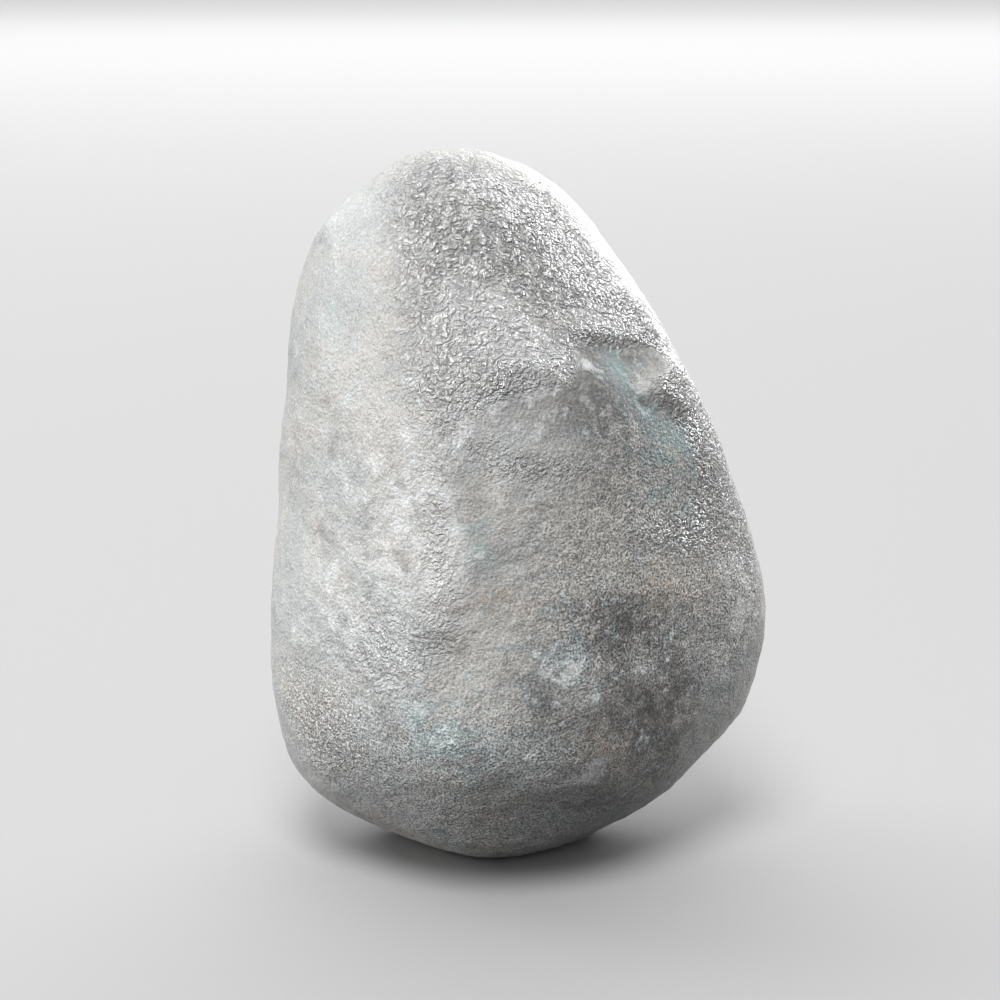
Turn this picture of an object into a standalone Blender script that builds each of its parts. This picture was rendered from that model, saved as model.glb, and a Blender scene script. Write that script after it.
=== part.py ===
"""River pebble: one worn stone standing on its broad end.

The stone is a closed skin of quads about a heart point.  Its form comes from two things: the
flat faces that the river ground onto it, whose edges all run together softly, and the marks
left on those faces, which are swells, hollows and the ledges of old chips.

Directions on the stone are given as azimuth and elevation in degrees, seen from the heart:
azimuth 0 is the front (-Y), 90 the right side (+X), 180 the back and 270 the left side.
Lengths are in millimetres until the mesh is made.
"""

import bmesh
import bpy
import math
import numpy as np

MM = 0.001

# ---------------------------------------------------------------- driving dimensions
HEART = (-1.9, 0.0, 33.7)      # the point that the faces are measured from, above the rest
EDGE_HARDNESS = 12.0           # how tightly two worn faces meet: 4 is a ball, 30 a cut gem
REST_SOFTNESS = 0.4            # half height of the rounded rim of the flat that it rests on
GRID = 28                      # quads along each side of the six patches of the skin

WAVE_LENGTH = 15.0             # distance between the broad swells that cover the whole stone
WAVE_HEIGHT = 0.09             # height of one such swell
WAVE_COUNT = 7

STONE_COLOUR = (0.46, 0.46, 0.44, 1.0)
STONE_ROUGHNESS = 0.45

# Worn faces, each with its distance from the heart before its edges are rounded off.
# The ring of faces that gives the stone its outline leans back: angle from the right side
# anticlockwise, distance.
RING_LEAN = 13.0
RING_FACES = (
    (0, 30.8),
    (16, 25.2),
    (31, 23.7),
    (47, 30.3),
    (63, 42.0),
    (84, 45.5),
    (104, 39.0),
    (120, 46.0),
    (140, 35.6),
    (159, 29.8),
    (178, 22.2),
    (196, 32.0),
    (214, 39.0),
    (234, 36.2),
    (255, 37.6),
    (275, 37.8),
    (295, 37.0),
    (312, 44.0),
    (330, 43.5),
    (345, 34.6),
)
# The other faces: azimuth, elevation, distance.
FRONT_FACES = (
    (312, 4, 19.8),
    (345, 2, 21.8),
    (14, 0, 21.4),
    (42, 0, 21.0),
    (24, 42, 26.6),
    (316, 32, 28.5),
    (326, -40, 29.6),
    (8, -41, 29.0),
    (52, -36, 29.2),
)
BACK_FACES = (
    (135, 0, 23.0),
    (170, 5, 19.8),
    (205, 0, 20.5),
    (235, 5, 22.5),
    (150, 42, 32.0),
    (205, 42, 32.0),
    (150, -42, 29.5),
    (210, -42, 30.5),
)

# Swells (+) and hollows (-): azimuth, elevation, turn of the long axis anticlockwise from
# level, half length, half width, height.
SWELLS = (
    (-9, 18, 104, 10.0, 2.6, 0.5),     # lip of the left cheek
    (-15, -12, 65, 7.5, 2.6, 0.45),    # the same lip, where it turns down and left
    (-3, 20, 96, 8.5, 2.8, -0.8),      # valley that runs down beside the lip
    (8, 39, 10, 3.4, 1.4, -0.7),       # dent at the head of the valley
    (-12, 33, 47, 1.4, 1.1, -0.3),     # small pit beside it
    (4, 43.5, 17, 7.0, 1.9, 0.5),      # brow over the dent
    (23, 43, 86, 2.4, 1.0, -0.4),      # groove left of the chips
    (55, 41, -25, 3.4, 2.0, 0.5),      # block left standing between the chips
    (38, -20, -10, 4.2, 3.0, -0.5),    # hollow low on the right
    (45, -37, -5, 3.8, 2.6, -0.45),    # and the one under it
    (24, -32, 58, 2.4, 1.8, 0.3),      # knob beside them
    (-78, 14, 90, 5.0, 3.0, -0.5),     # slack in the left side
    (-80, -24, 90, 6.0, 8.0, 0.9),     # fullness below the slack
    (84, 0, 90, 7.0, 3.5, 0.3),        # widest part of the right side
    (108, 68, 0, 5.0, 9.0, 0.9),       # shoulder at the top right
    (200, 20, 40, 9.0, 5.0, -0.6),     # slack in the back
    (165, -18, 120, 7.0, 4.0, 0.5),    # swell in the back
)

# Ledges of old chips, with the ground stepping down on one side of a short line: azimuth,
# elevation, turn of the line, half length, bow of its middle, drop, run of the hollow.
LEDGES = (
    (40, 49.5, -18, 4.8, 0.8, 1.1, 12.0),  # upper chip
    (52, 33.5, -30, 5.4, 1.0, 1.0, 9.0),   # lower chip, nearer the right side
    (85, 53, 180, 3.0, 0.4, 0.45, 6.0),    # nick in the outline above the chips
    (72, -37, 55, 3.0, 0.5, 0.3, 5.0),     # nick low on the right
    (205, 50, 20, 5.0, 1.0, 0.6, 8.0),     # old chip high on the back
)
LEDGE_STEEPNESS = 0.5         # half width of the step itself


def direction(azimuth, elevation):
    """Unit vector that points from the heart at the given azimuth and elevation."""
    turn = math.radians(azimuth)
    rise = math.radians(elevation)
    level = math.cos(rise)
    return np.array((math.sin(turn) * level, -math.cos(turn) * level, math.sin(rise)))


def ring_direction(angle):
    """Unit vector of a face in the leaning ring."""
    turn = math.radians(angle)
    lean = math.radians(RING_LEAN)
    rise = math.sin(turn)
    return np.array((math.cos(turn), rise * math.sin(lean), rise * math.cos(lean)))


def worn_faces():
    """All the worn faces, each as the unit vector square to it and its distance."""
    ring = [(ring_direction(angle), distance) for angle, distance in RING_FACES]
    others = FRONT_FACES + BACK_FACES
    return ring + [(direction(azimuth, elevation), distance)
                   for azimuth, elevation, distance in others]


def worn_radius(directions):
    """Distance to the worn faces: a high power mean of the reciprocal distances.

    A ray meets each face's plane at distance / cosine.  The nearest plane wins, and the power
    mean lets neighbours blend where they are almost equally near, which rounds the edges.
    """
    total = np.zeros(len(directions))
    for square_to_face, distance in worn_faces():
        cosine = directions @ square_to_face
        total += (np.maximum(cosine, 0.0) / distance) ** EDGE_HARDNESS
    return total ** (-1.0 / EDGE_HARDNESS)


def measure_from(points, azimuth, elevation, turn):
    """Millimetres along and across a mark whose middle lies on the worn form, and a mask.

    The mask is 1 on the mark's own side of the stone and 0 on the far side.
    """
    out = direction(azimuth, elevation)
    middle = np.array(HEART) + out * worn_radius(out[None])[0]
    right = np.array((math.cos(math.radians(azimuth)), math.sin(math.radians(azimuth)), 0.0))
    up = np.cross(out, right)
    offset = points - middle
    level = offset @ right
    rise = offset @ up
    cosine = math.cos(math.radians(turn))
    sine = math.sin(math.radians(turn))
    mask = np.clip(offset @ out / 10.0 + 1.6, 0.0, 1.0)
    return level * cosine + rise * sine, rise * cosine - level * sine, mask


def swell_height(points, swell):
    """A round-topped hill or bowl: its height falls off as a bell curve both ways."""
    azimuth, elevation, turn, half_length, half_width, height = swell
    along, across, mask = measure_from(points, azimuth, elevation, turn)
    return height * mask * np.exp(-(along / half_length) ** 2 - (across / half_width) ** 2)


def ledge_height(points, ledge):
    """A step down across a bowed line, whose floor climbs back to the face over its run."""
    azimuth, elevation, turn, half_length, bow, drop, run = ledge
    along, across, mask = measure_from(points, azimuth, elevation, turn)
    share = along / half_length
    below = bow * (1.0 - share ** 2) - across
    step = 1.0 / (1.0 + np.exp(-np.clip(below / (LEDGE_STEEPNESS / 2.0), -40.0, 40.0)))
    floor = np.clip(1.0 - below / run, 0.0, 1.0) ** 2
    reach = np.clip(1.0 - share ** 2, 0.0, 1.0)
    return -drop * mask * step * floor * reach


def wave_height(points):
    """Broad unevenness: a few sine waves that run through the stone in spread directions."""
    total = np.zeros(len(points))
    golden_angle = math.pi * (3.0 - math.sqrt(5.0))
    for number in range(WAVE_COUNT):
        rise = 1.0 - 2.0 * (number + 0.5) / WAVE_COUNT
        level = math.sqrt(1.0 - rise * rise)
        turn = golden_angle * number
        heading = np.array((math.cos(turn) * level, math.sin(turn) * level, rise))
        length = WAVE_LENGTH * (0.7 + 0.1 * number)
        total += np.sin(points @ heading * (2.0 * math.pi / length) + 1.7 * number)
    return WAVE_HEIGHT * total


def pressed_flat(heights):
    """Heights above the rest: flat below it, unchanged well above, a parabola between."""
    share = np.clip((heights + REST_SOFTNESS) / (2.0 * REST_SOFTNESS), 0.0, 1.0)
    low = REST_SOFTNESS * share * share
    return np.where(heights > REST_SOFTNESS, heights, low)


def stone_surface(directions):
    """Points of the finished surface, in millimetres, along the given directions."""
    radius = worn_radius(directions)
    points = np.array(HEART) + directions * radius[:, None]
    relief = wave_height(points)
    for swell in SWELLS:
        relief += swell_height(points, swell)
    for ledge in LEDGES:
        relief += ledge_height(points, ledge)
    points = np.array(HEART) + directions * (radius + relief)[:, None]
    points[:, 2] = pressed_flat(points[:, 2])
    return points


def stone_material():
    material = bpy.data.materials.new("worn_stone")
    material.use_nodes = True
    shader = material.node_tree.nodes["Principled BSDF"]
    shader.inputs["Base Color"].default_value = STONE_COLOUR
    shader.inputs["Roughness"].default_value = STONE_ROUGHNESS
    shader.inputs["Metallic"].default_value = 0.0
    return material


def make_pebble():
    """The skin starts as a cube cut into a grid, whose points go out to the surface."""
    grid = bmesh.new()
    bmesh.ops.create_cube(grid, size=2.0)
    bmesh.ops.subdivide_edges(grid, edges=grid.edges[:], cuts=GRID - 1, use_grid_fill=True)
    cube = np.array([vertex.co[:] for vertex in grid.verts])
    spread = np.tan(cube * (math.pi / 4.0))
    directions = spread / np.linalg.norm(spread, axis=1, keepdims=True)
    for vertex, point in zip(grid.verts, stone_surface(directions) * MM):
        vertex.co = point
    bmesh.ops.triangulate(grid, faces=grid.faces[:])
    bmesh.ops.recalc_face_normals(grid, faces=grid.faces[:])
    mesh = bpy.data.meshes.new("pebble")
    grid.to_mesh(mesh)
    grid.free()
    mesh.materials.append(stone_material())
    mesh.shade_smooth()
    pebble = bpy.data.objects.new("pebble", mesh)
    bpy.context.scene.collection.objects.link(pebble)
    return pebble


for leftover in list(bpy.data.objects):
    bpy.data.objects.remove(leftover, do_unlink=True)
make_pebble()
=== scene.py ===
"""A river pebble standing on its broad end, with its skin and a plain pale studio."""

import bpy
import itertools
import math
import numpy as np
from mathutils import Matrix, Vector


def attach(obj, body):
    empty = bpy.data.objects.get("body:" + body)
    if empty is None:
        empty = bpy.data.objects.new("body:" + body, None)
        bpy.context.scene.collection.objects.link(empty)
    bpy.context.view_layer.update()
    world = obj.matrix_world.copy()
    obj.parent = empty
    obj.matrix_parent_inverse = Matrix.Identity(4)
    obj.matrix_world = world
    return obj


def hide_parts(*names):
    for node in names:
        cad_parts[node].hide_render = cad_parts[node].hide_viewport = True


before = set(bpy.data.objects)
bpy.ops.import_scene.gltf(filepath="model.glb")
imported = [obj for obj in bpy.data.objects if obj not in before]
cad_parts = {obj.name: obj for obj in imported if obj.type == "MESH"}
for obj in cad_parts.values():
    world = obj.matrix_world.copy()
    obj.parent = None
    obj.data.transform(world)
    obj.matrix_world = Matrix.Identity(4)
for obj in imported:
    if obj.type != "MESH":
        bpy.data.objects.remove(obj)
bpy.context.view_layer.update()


# ======================================================================== the pebble
# One stone of fine-grained quartzite, rolled along a river bed until its broken sides ran
# together.  Sand scoured its skin into fine wrinkles and polished their crests, seeping water
# stained it in patches, and two chips came off high on the right before the last of the wear.

MM = 0.001
HEART = np.array((-1.9, 0.0, 33.7))    # the point that the faces are measured from
EDGE_HARDNESS = 12.0                   # how tightly two worn faces meet
REST_SOFTNESS = 0.4                    # half height of the rim of the flat it rests on

# The ring of worn faces that gives the outline leans back from upright: angle from the
# right side anticlockwise, distance from the heart in millimetres.
RING_LEAN = 13.0
RING_FACES = (
    (0, 30.8),
    (16, 25.2),
    (31, 23.7),
    (47, 30.3),
    (63, 42.0),
    (84, 45.5),
    (104, 39.0),
    (120, 46.0),
    (140, 35.6),
    (159, 29.8),
    (178, 22.2),
    (196, 32.0),
    (214, 39.0),
    (234, 36.2),
    (255, 37.6),
    (275, 37.8),
    (295, 37.0),
    (312, 44.0),
    (330, 43.5),
    (345, 34.6),
)
# The other worn faces: azimuth from the front towards the right, elevation, distance.
OTHER_FACES = (
    (312, 4, 19.8),
    (345, 2, 21.8),
    (14, 0, 21.4),
    (42, 0, 21.0),
    (24, 42, 26.6),
    (316, 32, 28.5),
    (326, -40, 29.6),
    (8, -41, 29.0),
    (52, -36, 29.2),
    (135, 0, 23.0),
    (170, 5, 19.8),
    (205, 0, 20.5),
    (235, 5, 22.5),
    (150, 42, 32.0),
    (205, 42, 32.0),
    (150, -42, 29.5),
    (210, -42, 30.5),
)


def pointing(azimuth, elevation):
    """Unit vector from the heart: azimuth 0 is the front, 90 the right side."""
    turn = math.radians(azimuth)
    rise = math.radians(elevation)
    level = math.cos(rise)
    return np.array((math.sin(turn) * level, -math.cos(turn) * level, math.sin(rise)))


def ring_pointing(angle):
    """Unit vector in the leaning ring: cos and sin of the angle, the sin leaning back."""
    turn = math.radians(angle)
    lean = math.radians(RING_LEAN)
    rise = math.sin(turn)
    return np.array((math.cos(turn), rise * math.sin(lean), rise * math.cos(lean)))


WORN_FACES = [(ring_pointing(angle), far) for angle, far in RING_FACES]
WORN_FACES += [(pointing(azimuth, elevation), far) for azimuth, elevation, far in OTHER_FACES]


def worn_radius(directions):
    """Distance to the worn faces along unit vectors: one over a high power mean of the
    cosine / distance of each face.  The nearest plane wins, and neighbours that are almost
    equally near blend into a round edge."""
    total = np.zeros(len(directions))
    for square_to_face, far in WORN_FACES:
        total += (np.maximum(directions @ square_to_face, 0.0) / far) ** EDGE_HARDNESS
    return total ** (-1.0 / EDGE_HARDNESS)


MARK_FADE_START = 6.0                  # how far in behind its middle a mark starts to fade
MARK_FADE_RUN = 10.0                   # and how much further in it is gone


def measure_from(points, azimuth, elevation, turn):
    """Millimetres along and across a mark, and a mask that is 0 on the stone's far side."""
    out = pointing(azimuth, elevation)
    middle = HEART + out * worn_radius(out[None])[0]
    right = np.array((math.cos(math.radians(azimuth)), math.sin(math.radians(azimuth)), 0.0))
    up = np.cross(out, right)
    offset = points - middle
    level = offset @ right
    rise = offset @ up
    cosine = math.cos(math.radians(turn))
    sine = math.sin(math.radians(turn))
    mask = np.clip(1.0 + (offset @ out + MARK_FADE_START) / MARK_FADE_RUN, 0.0, 1.0)
    return level * cosine + rise * sine, rise * cosine - level * sine, mask


def bell(points, azimuth, elevation, turn, half_length, half_width):
    """An oval patch: exp of minus the squares of the distances in half lengths and widths."""
    along, across, mask = measure_from(points, azimuth, elevation, turn)
    return mask * np.exp(-(along / half_length) ** 2 - (across / half_width) ** 2)


# Swells (+) and hollows (-): azimuth, elevation, turn of the long axis anticlockwise from
# level, half length, half width, height.
SWELLS = (
    (-9, 18, 104, 10.0, 2.6, 0.5),     # lip of the left cheek
    (-15, -12, 65, 7.5, 2.6, 0.45),    # the same lip, where it turns down and left
    (-3, 20, 96, 8.5, 2.8, -0.8),      # valley that runs down beside the lip
    (8, 39, 10, 3.4, 1.4, -0.7),       # dent at the head of the valley
    (-12, 33, 47, 1.4, 1.1, -0.3),     # small pit beside it
    (4, 43.5, 17, 7.0, 1.9, 0.5),      # brow over the dent
    (23, 43, 86, 2.4, 1.0, -0.4),      # groove left of the chips
    (55, 41, -25, 3.4, 2.0, 0.5),      # block left standing between the chips
    (38, -20, -10, 4.2, 3.0, -0.5),    # hollow low on the right
    (45, -37, -5, 3.8, 2.6, -0.45),    # and the one under it
    (24, -32, 58, 2.4, 1.8, 0.3),      # knob beside them
    (-78, 14, 90, 5.0, 3.0, -0.5),     # slack in the left side
    (-80, -24, 90, 6.0, 8.0, 0.9),     # fullness below the slack
    (84, 0, 90, 7.0, 3.5, 0.3),        # widest part of the right side
    (108, 68, 0, 5.0, 9.0, 0.9),       # shoulder at the top right
    (200, 20, 40, 9.0, 5.0, -0.6),     # slack in the back
    (165, -18, 120, 7.0, 4.0, 0.5),    # swell in the back
)

# Ledges of old chips: azimuth, elevation, turn of the line, half length, bow of its middle,
# drop, run of the hollow below it.
LEDGES = (
    (40, 49.5, -18, 4.8, 0.8, 1.1, 12.0),  # upper chip
    (52, 33.5, -30, 5.4, 1.0, 1.0, 9.0),   # lower chip, nearer the right side
    (85, 53, 180, 3.0, 0.4, 0.45, 6.0),    # nick in the outline above the chips
    (72, -37, 55, 3.0, 0.5, 0.3, 5.0),     # nick low on the right
    (205, 50, 20, 5.0, 1.0, 0.6, 8.0),     # old chip high on the back
)
LEDGE_STEEPNESS = 0.5                  # half width of the step itself


def ledge_depth(points, ledge):
    """A step down across a bowed line: a logistic step, times a floor that climbs back as
    the square of the share of its run that is left, times a parabola along the line."""
    azimuth, elevation, turn, half_length, bow, drop, run = ledge
    along, across, mask = measure_from(points, azimuth, elevation, turn)
    share = along / half_length
    below = bow * (1.0 - share ** 2) - across
    step = 1.0 / (1.0 + np.exp(-np.clip(below / (LEDGE_STEEPNESS / 2.0), -40.0, 40.0)))
    floor = np.clip(1.0 - below / run, 0.0, 1.0) ** 2
    return drop * mask * step * floor * np.clip(1.0 - share ** 2, 0.0, 1.0)


WAVE_LENGTH = 15.0                     # distance between broad swells over the whole stone
WAVE_HEIGHT = 0.09                     # height of one such swell
WAVE_COUNT = 7


def wave_height(points):
    """Broad unevenness: the sum of sine waves that run through the stone.  Their headings
    are spread by the golden angle, their lengths run from 0.7 to 1.3 of the middle one, and
    each starts 1.7 radians further on than the last."""
    total = np.zeros(len(points))
    golden_angle = math.pi * (3.0 - math.sqrt(5.0))
    for number in range(WAVE_COUNT):
        rise = 1.0 - 2.0 * (number + 0.5) / WAVE_COUNT
        level = math.sqrt(1.0 - rise * rise)
        turn = golden_angle * number
        heading = np.array((math.cos(turn) * level, math.sin(turn) * level, rise))
        length = WAVE_LENGTH * (0.7 + 0.1 * number)
        total += np.sin(points @ heading * (2.0 * math.pi / length) + 1.7 * number)
    return WAVE_HEIGHT * total


# The scoured skin: cell of the roughness in millimetres, height, seed.
SKIN_ROUGHNESS = (
    (4.2, 0.16, 1),                    # low lumps
    (2.1, 0.09, 2),                    # dimples
    (0.95, 0.085, 3),                  # coarse wrinkles
)
ROUGHNESS_GAIN = 1.4                   # brings the random relief to about -1 to 1
SMOOTHED_AWAY = 0.75                   # share of that relief which the smooth places lost


def scrambled(corners, seed):
    """A repeatable number from -1 to 1 for each whole-number corner of a lattice: the three
    numbers times large primes, mixed bit by bit."""
    mixed = corners[:, 0] * 73856093 ^ corners[:, 1] * 19349663 ^ corners[:, 2] * 83492791
    mixed = (mixed ^ seed * 374761393) & 0xFFFFFFFF
    mixed = (mixed ^ mixed >> 13) * 1274126177 & 0xFFFFFFFF
    mixed = (mixed ^ mixed >> 16) * 668265263 & 0xFFFFFFFF
    mixed = mixed ^ mixed >> 15
    return (mixed & 0xFFFF) / 32767.5 - 1.0


def roughness(points, cell, seed):
    """Random relief of about -1 to 1: a random slope at each corner of a lattice, with the
    heights that the eight nearest slopes give blended by a smooth step of fifth power."""
    place = points / cell + 100.0
    low = np.floor(place)
    share = place - low
    smooth = share ** 3 * (share * (share * 6.0 - 15.0) + 10.0)
    total = np.zeros(len(points))
    for corner in itertools.product((0, 1), repeat=3):
        lattice = (low + corner).astype(np.int64)
        weight = np.prod(np.where(corner, smooth, 1.0 - smooth), axis=1)
        for axis in range(3):
            slope = scrambled(lattice, seed * 3 + axis)
            total += weight * slope * (share[:, axis] - corner[axis])
    return total * ROUGHNESS_GAIN


# Places that the sand left smooth: azimuth, elevation, turn, half length, half width.
SMOOTH_PLACES = (
    (39, 43, -50, 4.5, 3.0),           # floor of the upper chip
    (30, 40, -80, 5.0, 2.2),
    (48, 45, -30, 3.0, 1.6),
    (46, 25, -52, 7.0, 3.6),           # floor of the lower chip
    (9, 37.5, 10, 6.0, 1.6),           # dent under the brow
    (20, 33, 0, 7.0, 2.4),             # from the dent to the chips
    (-6, 10, -73, 5.0, 1.8),           # floor of the valley
)


def smooth_share(points):
    """How far the skin is smooth: 1 in the middle of a smooth place, 0 well outside it."""
    return np.max([bell(points, *place) for place in SMOOTH_PLACES], axis=0)


def pressed_flat(heights):
    """Heights above the rest: flat below it, unchanged well above, a parabola between."""
    share = np.clip((heights + REST_SOFTNESS) / (2.0 * REST_SOFTNESS), 0.0, 1.0)
    return np.where(heights > REST_SOFTNESS, heights, REST_SOFTNESS * share * share)


def stone_surface(directions):
    """Points of the surface along unit vectors: the worn radius, plus waves, swells, ledges
    and skin, with the foot pressed flat."""
    radius = worn_radius(directions)
    form = HEART + directions * radius[:, None]
    relief = wave_height(form)
    for *patch, height in SWELLS:
        relief += height * bell(form, *patch)
    for ledge in LEDGES:
        relief -= ledge_depth(form, ledge)
    coarse = 1.0 - SMOOTHED_AWAY * smooth_share(form)
    for cell, height, seed in SKIN_ROUGHNESS:
        relief += height * coarse * roughness(form, cell, seed)
    points = HEART + directions * (radius + relief)[:, None]
    points[:, 2] = pressed_flat(points[:, 2])
    return points


SKIN_CELLS = 128                       # quads along each side of the six patches


def cube_patches(cells):
    """Six square patches of a cube, each a grid of two parameters from 0 to the cell count,
    with shared edges: whole-number corners and the quads between them, facing out."""
    first, second = np.meshgrid(np.arange(cells + 1), np.arange(cells + 1), indexing="ij")
    near = np.zeros_like(first)
    far = near + cells
    sides = (
        (far, first, second),
        (near, second, first),
        (second, far, first),
        (first, near, second),
        (first, second, far),
        (second, first, near),
    )
    corners = np.concatenate([np.stack(side, -1).reshape(-1, 3) for side in sides])
    row = np.arange(cells)[:, None] * (cells + 1) + np.arange(cells)
    quad = np.stack((row, row + cells + 1, row + cells + 2, row + 1), -1).reshape(-1, 4)
    quads = np.concatenate([quad + number * (cells + 1) ** 2 for number in range(6)])
    shared, joined = np.unique(corners, axis=0, return_inverse=True)
    return shared, joined.reshape(-1)[quads]


def skin_directions(corners, cells):
    """Unit vectors through the cube's corners, spread evenly by the tangent of the angle."""
    spread = np.tan((2.0 * corners / cells - 1.0) * (math.pi / 4.0))
    return spread / np.linalg.norm(spread, axis=1, keepdims=True)


# Stains, with some painted shade and painted light among them, one list to a colour:
# azimuth, elevation, turn, half length, half width, strength.  A comment stands for the lines
# below it too, up to the next one.
STAINS_AND_PAINTED_SHADING = {
    "dark": (
        (12, 67, 0, 5.5, 3.6, 0.9),        # under the top: painted shade where the upper face mirrors no lamp
        (33, 67, -60, 6.0, 3.2, 1.0),
        (46, 59, -80, 6.0, 3.0, 0.6),
        (20, 58, -80, 6.0, 2.4, 0.7),      # down the upper face
        (8, 38.5, 8, 4.2, 1.8, 1.0),       # in the dent: painted shade in the hollow
        (12, 39.5, 14, 3.0, 1.5, 1.0),
        (40, 48, -18, 4.0, 0.8, 0.7),      # along the foot of each ledge: painted shade under its step
        (52, 32, -30, 5.0, 0.9, 0.9),
        (36, 43, -70, 6.0, 3.6, 0.75),     # on the floors of the chips: painted shade that tones down the light on them
        (30, 43, -80, 4.5, 3.0, 1.0),
        (44, 31, -55, 6.0, 4.5, 0.55),
        (18, 35, 0, 6.0, 2.4, 0.5),        # below the dent, towards the chips
        (15, 41, 10, 3.0, 2.0, 0.5),       # beside the dent
        (-10, 31, 45, 1.2, 0.9, 0.5),      # in the small pit
        (37, -19, -30, 5.6, 3.0, 1.0),     # in the hollow low on the right
        (37, -27, -59, 2.4, 1.4, 0.6),
        (47, -37, -19, 7.0, 3.6, 1.0),     # in the one under it
        (58, -31, -28, 3.2, 2.2, 0.7),
        (55, -46, -18, 5.4, 2.5, 0.5),     # lower still
        (32, -10, 4, 2.6, 1.2, 0.4),       # flecks beside the hollows
        (12, -31, -53, 2.4, 1.4, 0.6),
        (18, -26, -60, 7.0, 4.5, 0.7),     # a thin wash between them
        (50, -26, -20, 8.0, 6.0, 0.5),
        (36, -57, -20, 9.0, 3.5, 0.75),    # low round the foot: painted shade where the stone turns under
        (58, -50, -30, 8.0, 3.0, 0.8),
        (2, -36, -10, 9.0, 3.5, 0.2),      # low at the front: painted shade where the stone turns under
        (-28, 46, -60, 9.0, 5.0, 0.4),     # on the upper left cheek: painted shade that dims the light there
        (62, 10, -60, 8.0, 3.0, 0.35),     # down the right side: painted shade on the side turned from the light
        (28, 22, -30, 2.2, 1.2, 0.5),      # flecks under the chips
        (36, 12, -30, 2.4, 1.0, 0.4),
        (-82, -40, -60, 8.0, 4.0, 0.35),   # low on the left side
        (64, 20, -69, 5.5, 1.8, 0.6),      # under the lower chip
        (37, 28, -66, 2.6, 1.6, 0.3),
        (23, 43, -94, 2.2, 0.9, 0.5),      # in the groove
        (150, 20, 30, 9.0, 5.0, 0.6),      # on the back
        (215, -15, -40, 8.0, 6.0, 0.7),
        (180, 25, 20, 14.0, 8.0, 0.5),
        (170, -25, -15, 16.0, 8.0, 0.6),
        (235, -35, 30, 9.0, 6.0, 0.55),
        (250, 5, 80, 12.0, 6.0, 0.45),
        (112, 15, 90, 14.0, 6.0, 0.45),    # round the right side
        (115, -25, 70, 8.0, 5.0, 0.6),
        (262, 35, 80, 8.0, 4.0, 0.5),      # high on the left side
    ),
    "cool": (
        (38, 45, -85, 3.4, 1.6, 1.0),      # on the floors of the chips
        (53, 30, -58, 4.0, 2.2, 1.0),
        (46, 25, -52, 8.0, 4.5, 0.4),
        (-8, -38, -60, 5.5, 4.0, 0.7),     # low at the front
        (-19, -38, -78, 6.0, 2.5, 0.5),
        (-6, 10, -73, 5.0, 2.0, 0.4),      # down the valley
        (21, -25, -50, 5.0, 2.6, 0.6),     # beside the hollows
        (-56, 52, -23, 4.0, 2.4, 0.25),    # high on the left
        (180, 40, 20, 7.0, 4.0, 0.7),      # on the back
        (230, 5, 60, 8.0, 3.5, 0.5),
        (120, -35, 0, 6.0, 4.0, 0.6),
    ),
    "warm": (
        (2, -7, -11, 5.0, 2.2, 0.6),       # across the front
        (48, -6, -25, 6.5, 2.6, 0.55),
        (30, -43, -33, 5.0, 2.8, 0.75),    # low on the right
        (44, -46, -32, 8.0, 3.5, 0.5),
        (46, -12, -30, 3.0, 2.2, 0.5),
        (61, -38, -29, 2.8, 1.6, 0.6),
        (-58, -42, -42, 6.0, 3.5, 0.5),    # low on the left
        (-42, 60, 3, 5.0, 1.8, 0.4),       # high on the left
        (-2, 38, 12, 2.2, 1.0, 0.7),       # beside the dent
        (25, 14, -51, 2.2, 1.2, 0.5),      # under the chips
        (15, 54, -80, 5.0, 1.8, 0.4),      # on the upper face
        (195, -35, 10, 8.0, 4.0, 0.8),     # on the back
        (165, 62, 0, 6.0, 3.0, 0.5),
        (250, -5, 70, 5.0, 3.0, 0.5),
    ),
    "pale": (
        (-30, 12, 80, 18.0, 7.0, 0.25),    # over the left cheek
        (-6, 54, -60, 9.0, 5.0, 1.0),      # down the left of the upper face: painted highlight where its wrinkles glint
        (8, 50, 0, 5.0, 3.0, 0.7),
        (1, 43.5, 20, 7.0, 2.2, 0.95),     # along the brow: painted highlight on its lit lip
        (6, 41.5, 15, 4.0, 1.2, 0.8),
        (-13, 12, -73, 5.0, 1.6, 0.6),     # along the lip: painted light on the lit edge of the cheek
        (-14, -2, -70, 6.0, 2.5, 0.5),
        (39, 54.5, -20, 4.5, 1.6, 1.0),    # along the brink of each ledge: painted highlight where it catches the light
        (51, 39, -22, 4.6, 1.2, 1.0),
        (63, 29, -61, 4.0, 1.0, 0.7),      # down the right of the lower chip
        (-35, -22, -10, 6.0, 3.5, 0.75),   # low on the left cheek
        (20, -24, -45, 4.6, 2.0, 0.3),     # clots beside the hollows
        (24, -30, -38, 2.8, 1.6, 0.4),
        (16, -29, -48, 2.6, 1.3, 0.45),
        (43, -27, -23, 3.0, 1.5, 0.6),
        (28, -48, 50, 3.0, 1.2, 0.5),
        (28, -1, -47, 3.5, 1.6, 0.4),      # a fleck on the front
        (13, -49, -35, 3.0, 1.2, 0.5),     # low at the front
        (-62, -46, -30, 6.0, 3.0, 0.5),    # low on the left side
        (76, -12, -80, 6.0, 2.8, 0.9),     # down the right edge: painted sheen of the light from behind
        (2, -38, -15, 6.0, 2.0, 0.3),      # low at the front; the second is painted light on the shaded underside
        (2, -45, -10, 8.0, 2.5, 0.35),
        (200, 12, 60, 9.0, 5.0, 0.6),      # on the back
        (140, -5, 100, 7.0, 3.0, 0.5),
    ),
}

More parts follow.
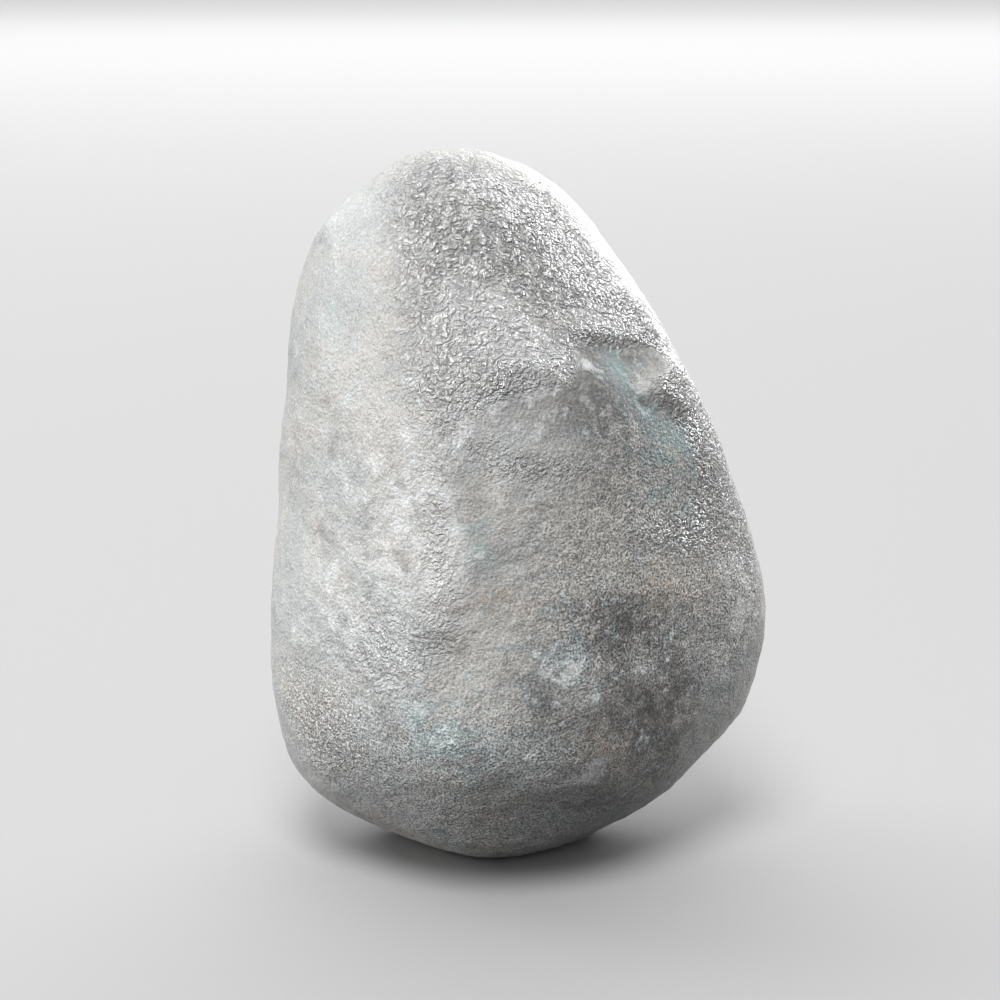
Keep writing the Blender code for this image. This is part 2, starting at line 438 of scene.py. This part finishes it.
# How the river left the skin, in patches of the same kind.
WEAR = {
    "wrinkled": (                          # scoured deep, with polished crests
        (-9, 64, -80, 12.0, 7.0, 1.0),     # the upper face
        (-25, 74, -30, 9.0, 5.0, 0.7),
        (40, 66, -106, 9.0, 5.0, 1.0),
        (70, 72, -95, 9.0, 3.2, 1.0),      # down the rim of the top right
        (58, 44, -75, 8.0, 2.6, 1.0),
        (73, 13, -71, 10.0, 3.0, 0.8),
        (0, 47, 18, 6.5, 2.4, 1.0),        # on the brow
        (53, 41, -22, 4.5, 2.0, 1.0),      # on the block between the chips
        (57, 8, -12, 8.0, 4.0, 0.6),       # under the lower chip
        (-30, -20, 12, 7.0, 5.0, 0.5),     # low on the left cheek
        (-55, -42, -21, 7.0, 5.0, 0.5),
        (-15, 8, -85, 9.0, 2.0, 0.4),      # along the lip
        (10, 29, -9, 6.0, 3.0, 0.45),      # below the dent
        (105, 20, 90, 16.0, 6.0, 0.4),     # round the right side
        (160, 50, 20, 11.0, 8.0, 0.55),    # on the back
        (220, -10, 60, 12.0, 7.0, 0.45),
    ),
    "peppered": (                          # coarse grains laid bare
        (50, -18, -6, 13.0, 8.0, 1.0),     # the lower right
        (10, -58, -4, 18.0, 12.0, 1.0),    # round the foot
        (70, 2, 90, 12.0, 5.0, 0.9),       # the right edge
        (-55, -42, -21, 9.0, 6.0, 0.7),    # low on the left cheek
        (45, 20, -50, 9.0, 5.0, 0.6),      # the lower chip and under it
        (28, 10, -40, 12.0, 8.0, 0.4),
        (130, -20, 20, 14.0, 10.0, 0.8),   # on the back
        (200, -30, 10, 14.0, 8.0, 0.8),
    ),
}


def stain_and_shading_share(points, marks):
    """How strongly one colour, whether stain, painted shade or painted light, or one kind of
    wear
    lies on the skin: its patches laid over one another, each hiding its share of what is
    still clear."""
    clear = np.ones(len(points))
    for *patch, strength in marks:
        clear *= 1.0 - strength * bell(points, *patch)
    return 1.0 - clear


def make_skin(name):
    """The stone's mesh, with a number at each point for each stain, painted shade or painted
    light, and each kind of wear.
    """
    corners, quads = cube_patches(SKIN_CELLS)
    directions = skin_directions(corners, SKIN_CELLS)
    form = HEART + directions * worn_radius(directions)[:, None]
    mesh = bpy.data.meshes.new(name)
    mesh.from_pydata(stone_surface(directions) * MM, [], quads)
    patches = STAINS_AND_PAINTED_SHADING | WEAR
    shares = {label: stain_and_shading_share(form, places) for label, places in patches.items()}
    shares["smooth"] = smooth_share(form)
    for label, share in shares.items():
        attribute = mesh.attributes.new(label, "FLOAT", "POINT")
        attribute.data.foreach_set("value", share.astype(np.float32))
    mesh.shade_smooth()
    mesh.update()
    stone = bpy.data.objects.new(name, mesh)
    bpy.context.scene.collection.objects.link(stone)
    return stone


# Its colours, as bare stone and then as stains, painted shade and painted light, in the order
# in which they are laid.
WARM_GREY = (0.48, 0.467, 0.445, 1.0)
COOL_GREY = (0.40, 0.413, 0.41, 1.0)
# white of the flecks, also the painted highlight on the crests of the wrinkles
WHITE_FLECK_AND_GLINT = (0.72, 0.72, 0.70, 1.0)
DARK_FLECK = (0.26, 0.255, 0.25, 1.0)
# painted shade for the furrows of the wrinkles
FURROW_SHADE = (0.07, 0.067, 0.065, 1.0)
STAIN_AND_SHADING_COLOURS = {
    "warm": (0.42, 0.345, 0.285, 1.0),
    "dark": (0.115, 0.11, 0.107, 1.0),
    "cool": (0.27, 0.35, 0.36, 1.0),
    "pale": (0.66, 0.67, 0.665, 1.0),
}
PATCH_RAGGEDNESS = 4.5                 # how far mottling and flecks break up their edges
MOTTLE_PULL = 0.7                      # and the share that each of the two has in that
FLECK_PULL = 0.55

# Its gloss, on plain skin and on the crests that the sand polished.
PLAIN_ROUGHNESS = 0.44
POLISHED_ROUGHNESS = 0.1
PLAIN_SHINE = 0.35
POLISHED_SHINE = 1.0
GLAZE_SHARE = 0.6                      # glassy layer on the most polished skin
GLAZE_ROUGHNESS = 0.1
GLAZE_IOR = 1.7

# Its finest relief, in millimetres.
WRINKLE_DEPTH = 0.36
STREAK_DEPTH = 0.12
GRAIN_DEPTH = 0.10
PLAIN_RIPPLE = 0.14
WRINKLED_RIPPLE = 0.22


def stone_finish():
    """Flecks and mottling of the bare stone, then the stains, painted shade and painted
    light, grains and wrinkles that the skin's own numbers call for.  The wrinkles have
    painted shade in their furrows and a painted highlight on their glossy crests, and the
    same pattern makes their relief."""
    material = bpy.data.materials.new("worn_stone")
    material.use_nodes = True
    tree = material.node_tree
    shader = tree.nodes["Principled BSDF"]

    def add(kind, **settings):
        node = tree.nodes.new(kind)
        for key, value in settings.items():
            setattr(node, key, value)
        return node

    def join(source, target):
        tree.links.new(source, target)

    place = add("ShaderNodeTexCoord").outputs["Object"]

    def noise(per_metre, detail, rough, distortion=0.0):
        """Noise with the given number of cells to the metre."""
        node = add("ShaderNodeTexNoise")
        node.inputs["Scale"].default_value = per_metre
        node.inputs["Detail"].default_value = detail
        node.inputs["Roughness"].default_value = rough
        node.inputs["Distortion"].default_value = distortion
        join(place, node.inputs["Vector"])
        return node.outputs["Fac"]

    def between(value, low, high, out_low=0.0, out_high=1.0):
        """The value from low to high, eased, as out_low to out_high."""
        node = add("ShaderNodeMapRange", interpolation_type="SMOOTHSTEP")
        join(value, node.inputs["Value"])
        node.inputs["From Min"].default_value = low
        node.inputs["From Max"].default_value = high
        node.inputs["To Min"].default_value = out_low
        node.inputs["To Max"].default_value = out_high
        return node.outputs["Result"]

    def combine(first, second, operation="ADD"):
        """The sum of two values or sockets, or what another operation makes of them."""
        node = add("ShaderNodeMath", operation=operation)
        for socket, value in zip(node.inputs, (first, second)):
            if isinstance(value, (int, float)):
                socket.default_value = value
            else:
                join(value, socket)
        return node.outputs["Value"]

    def blend(share, under, over, way="MIX"):
        """The colour over laid on the colour under, by the share."""
        node = add("ShaderNodeMix", data_type="RGBA", clamp_factor=True, blend_type=way)
        join(share, node.inputs["Factor"])
        for name, colour in (("A_Color", under), ("B_Color", over)):
            socket = next(s for s in node.inputs if s.identifier == name)
            if isinstance(colour, tuple):
                socket.default_value = colour
            else:
                join(colour, socket)
        return next(s for s in node.outputs if s.identifier == "Result_Color")

    def tangle(per_metre, detail, reach, out_low=0.0):
        """Winding furrows: low where the noise crosses its middle value, 1 beyond a reach."""
        off = combine(noise(per_metre, detail, 0.42), 0.5, "SUBTRACT")
        return between(combine(off, 0.0, "ABSOLUTE"), 0.0, reach, out_low, 1.0)

    def carried(label):
        """One of the numbers that the skin's points carry."""
        return add("ShaderNodeAttribute", attribute_name=label).outputs["Fac"]

    blotch = noise(95.0, 5.0, 0.6, 0.4)    # clouds of tone, a centimetre across
    mottle = noise(270.0, 6.0, 0.66, 0.8)  # mottling, 4 mm across
    fleck = noise(760.0, 4.0, 0.66)        # single flecks of about 1 mm
    streak = noise(850.0, 2.0, 0.5)        # low relief of the same size
    ripple = noise(3000.0, 1.0, 0.6)       # unevenness of 0.3 mm in the gloss
    grain = noise(5200.0, 2.0, 0.6)        # sand-size grains of 0.2 mm
    rough_skin = between(carried("smooth"), 0.15, 0.6, 1.0, 0.1)
    wrinkled = combine(between(carried("wrinkled"), 0.02, 0.85), rough_skin, "MULTIPLY")
    peppered = between(carried("peppered"), 0.1, 0.8, 0.2, 0.8)

    colour = blend(between(blotch, 0.38, 0.62), WARM_GREY, COOL_GREY)
    colour = blend(between(mottle, 0.5, 0.68, 0.0, 0.45), colour, WHITE_FLECK_AND_GLINT)
    colour = blend(between(mottle, 0.48, 0.3, 0.0, 0.6), colour, DARK_FLECK)
    colour = blend(between(fleck, 0.55, 0.72, 0.0, 0.4), colour, WHITE_FLECK_AND_GLINT)
    colour = blend(between(fleck, 0.45, 0.3, 0.0, 0.4), colour, DARK_FLECK)

    mottle_pull = combine(mottle, MOTTLE_PULL, "MULTIPLY")
    uneven = combine(mottle_pull, combine(fleck, FLECK_PULL, "MULTIPLY"))
    uneven = combine(uneven, (MOTTLE_PULL + FLECK_PULL) / 2.0, "SUBTRACT")
    broken = combine(uneven, PATCH_RAGGEDNESS, "MULTIPLY")
    for label, patch_colour in STAIN_AND_SHADING_COLOURS.items():
        ragged = between(combine(carried(label), broken), 0.1, 1.15)
        colour = blend(ragged, colour, patch_colour)
    colour = blend(peppered, colour, between(grain, 0.34, 0.66, 0.06, 0.94), "OVERLAY")

    worm = combine(tangle(1450.0, 2.0, 0.15), tangle(2700.0, 1.0, 0.12, 0.45), "MULTIPLY")
    patchy = combine(between(fleck, 0.36, 0.6, 0.35, 1.0), wrinkled, "MULTIPLY")
    # painted shade in the furrows of the wrinkles, less where the skin is pale
    furrow_shade = between(worm, 0.0, 0.75, 1.0, 0.0)
    furrow_shade = combine(furrow_shade, between(carried("pale"), 0.2, 0.9, 1.0, 0.7), "MULTIPLY")
    colour = blend(combine(furrow_shade, patchy, "MULTIPLY"), colour, FURROW_SHADE)
    # painted highlight on the crests of the wrinkles
    crest_glint = between(worm, 0.55, 0.95, 0.0, 0.8)
    colour = blend(combine(crest_glint, patchy, "MULTIPLY"), colour, WHITE_FLECK_AND_GLINT)
    join(colour, shader.inputs["Base Color"])

    gloss = between(wrinkled, 0.0, 1.0, PLAIN_ROUGHNESS, POLISHED_ROUGHNESS)
    join(gloss, shader.inputs["Roughness"])
    shine = between(wrinkled, 0.0, 1.0, PLAIN_SHINE, POLISHED_SHINE)
    join(shine, shader.inputs["Specular IOR Level"])
    join(between(wrinkled, 0.2, 1.0, 0.0, GLAZE_SHARE), shader.inputs["Coat Weight"])
    shader.inputs["Coat Roughness"].default_value = GLAZE_ROUGHNESS
    shader.inputs["Coat IOR"].default_value = GLAZE_IOR

    deep = combine(worm, WRINKLE_DEPTH, "MULTIPLY")
    ripple_depth = between(wrinkled, 0.0, 1.0, PLAIN_RIPPLE, WRINKLED_RIPPLE)
    grain_depth = combine(peppered, GRAIN_DEPTH, "MULTIPLY")
    fine = combine(ripple, ripple_depth, "MULTIPLY")
    fine = combine(fine, combine(grain, grain_depth, "MULTIPLY"))
    fine = combine(fine, combine(streak, STREAK_DEPTH, "MULTIPLY"))
    height = combine(combine(deep, wrinkled, "MULTIPLY"), fine)
    bump = add("ShaderNodeBump")
    join(height, bump.inputs["Height"])
    bump.inputs["Distance"].default_value = MM
    join(bump.outputs["Normal"], shader.inputs["Normal"])
    join(bump.outputs["Normal"], shader.inputs["Coat Normal"])
    return material


stone = make_skin("pebble_skin")
stone.data.materials.append(stone_finish())
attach(stone, "root")
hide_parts("pebble")


# ======================================================================== the studio
# A sheet of pale paper swept up behind the stone, under a soft dome.  A key softbox hangs
# overhead in front and a weaker one at the left.  The other softboxes are flagged off the
# paper, so that they reach the stone alone, and two panels light the paper behind it.

SWEEP_WIDTH = 8.0                      # the paper, in metres
SWEEP_FRONT = -3.0
SWEEP_BACK = 6.0                       # where it starts to bend upwards
SWEEP_BEND = 1.5                       # radius of the bend
SWEEP_TOP = 3.0
PAPER = (0.52, 0.52, 0.523, 1.0)


def make_sweep(name):
    """Level paper, then a quarter circle, then upright: its profile carried sideways."""
    turn = np.linspace(0.0, math.pi / 2.0, 25)
    along = np.concatenate(([SWEEP_FRONT], SWEEP_BACK + SWEEP_BEND * np.sin(turn),
                            [SWEEP_BACK + SWEEP_BEND]))
    up = np.concatenate(([0.0], SWEEP_BEND * (1.0 - np.cos(turn)), [SWEEP_TOP]))
    across = np.array((-0.5, 0.5))[:, None] * SWEEP_WIDTH
    points = np.stack(np.broadcast_arrays(across, along, up), -1).reshape(-1, 3)
    count = len(along)
    first = np.arange(count - 1)
    quads = np.stack((first, first + count, first + count + 1, first + 1), -1)
    mesh = bpy.data.meshes.new(name)
    mesh.from_pydata(points, [], quads)
    mesh.shade_smooth()
    material = bpy.data.materials.new("paper")
    material.use_nodes = True
    shader = material.node_tree.nodes["Principled BSDF"]
    shader.inputs["Base Color"].default_value = PAPER
    shader.inputs["Roughness"].default_value = 0.8
    shader.inputs["Specular IOR Level"].default_value = 0.2
    mesh.materials.append(material)
    sweep = bpy.data.objects.new(name, mesh)
    sweep.visible_diffuse = False          # it throws no light back at the stone
    bpy.context.scene.collection.objects.link(sweep)
    return sweep


make_sweep("paper_sweep")

STONE_MIDDLE = Vector((-0.0016, 0.0, 0.036))
SOFTBOX_FAR = 1.2                      # metres from the middle of the stone

stone_alone = bpy.data.collections.new("stone_alone")
stone_alone.objects.link(stone)


def hang_softbox(name, azimuth, elevation, size, watts, flagged=False):
    """A round soft light at an azimuth and elevation, facing the middle of the stone.  A
    flagged one is cut off from the paper, so that only the stone takes its light."""
    light = bpy.data.lights.new(name, "AREA")
    light.shape = "DISK"
    light.size = size
    light.energy = watts
    lamp = bpy.data.objects.new(name, light)
    lamp.location = STONE_MIDDLE + SOFTBOX_FAR * Vector(pointing(azimuth, elevation))
    lamp.rotation_euler = (STONE_MIDDLE - lamp.location).to_track_quat("-Z", "Y").to_euler()
    if flagged:
        lamp.light_linking.receiver_collection = stone_alone
    bpy.context.scene.collection.objects.link(lamp)


hang_softbox("key", -10, 60, 0.55, 9.5)
hang_softbox("left", -112, 40, 0.50, 2.2)
hang_softbox("rim", 150, 28, 0.28, 1.7, flagged=True)
hang_softbox("sheen", 122, 36, 0.22, 0.7, flagged=True)
hang_softbox("low_left", -80, 9, 0.36, 8.8, flagged=True)
hang_softbox("glint", -33, 45, 0.20, 1.6, flagged=True)
hang_softbox("low_right", 122, 12, 0.40, 8.2, flagged=True)
hang_softbox("low_back", 165, 10, 0.50, 3.0, flagged=True)
hang_softbox("front", -8, 10, 0.40, 4.4, flagged=True)


def hang_panel(name, along, height, width, depth, watts):
    """A wide lit panel that faces straight down on the paper behind the stone."""
    light = bpy.data.lights.new(name, "AREA")
    light.shape = "RECTANGLE"
    light.size = width
    light.size_y = depth
    light.energy = watts
    lamp = bpy.data.objects.new(name, light)
    lamp.location = (0.0, along, height)
    bpy.context.scene.collection.objects.link(lamp)


hang_panel("near_panel", 1.9, 1.2, 4.0, 2.4, 57.0)
hang_panel("far_panel", 4.6, 1.6, 6.0, 3.0, 76.0)

DOME_STRENGTH = 0.45
DOME_LOW = 0.1                         # sine of the angle above the horizon with no light
DOME_HIGH = 0.6                        # and of the angle above which the light is full


def light_dome():
    """Even light from high in the room, fading to none just above the horizon."""
    world = bpy.data.worlds.new("room")
    world.use_nodes = True
    tree = world.node_tree
    background = tree.nodes["Background"]
    background.inputs["Strength"].default_value = DOME_STRENGTH
    place = tree.nodes.new("ShaderNodeTexCoord")
    parts = tree.nodes.new("ShaderNodeSeparateXYZ")
    fade = tree.nodes.new("ShaderNodeMapRange")
    fade.inputs["From Min"].default_value = DOME_LOW
    fade.inputs["From Max"].default_value = DOME_HIGH
    tree.links.new(place.outputs["Generated"], parts.inputs["Vector"])
    tree.links.new(parts.outputs["Z"], fade.inputs["Value"])
    tree.links.new(fade.outputs["Result"], background.inputs["Color"])
    bpy.context.scene.world = world


light_dome()
bpy.context.scene.view_settings.view_transform = "Standard"

CAMERA_RISE = math.radians(13.0)
CAMERA_FAR = 0.236                     # metres from the middle of the stone
lens = bpy.data.cameras.new("camera")
lens.lens = 85.0
lens.sensor_width = 36.0
camera = bpy.data.objects.new("camera", lens)
camera.location = STONE_MIDDLE + CAMERA_FAR * Vector(
    (0.0, -math.cos(CAMERA_RISE), math.sin(CAMERA_RISE)))
camera.rotation_euler = (math.pi / 2.0 - CAMERA_RISE, 0.0, 0.0)
bpy.context.scene.collection.objects.link(camera)
bpy.context.scene.camera = camera
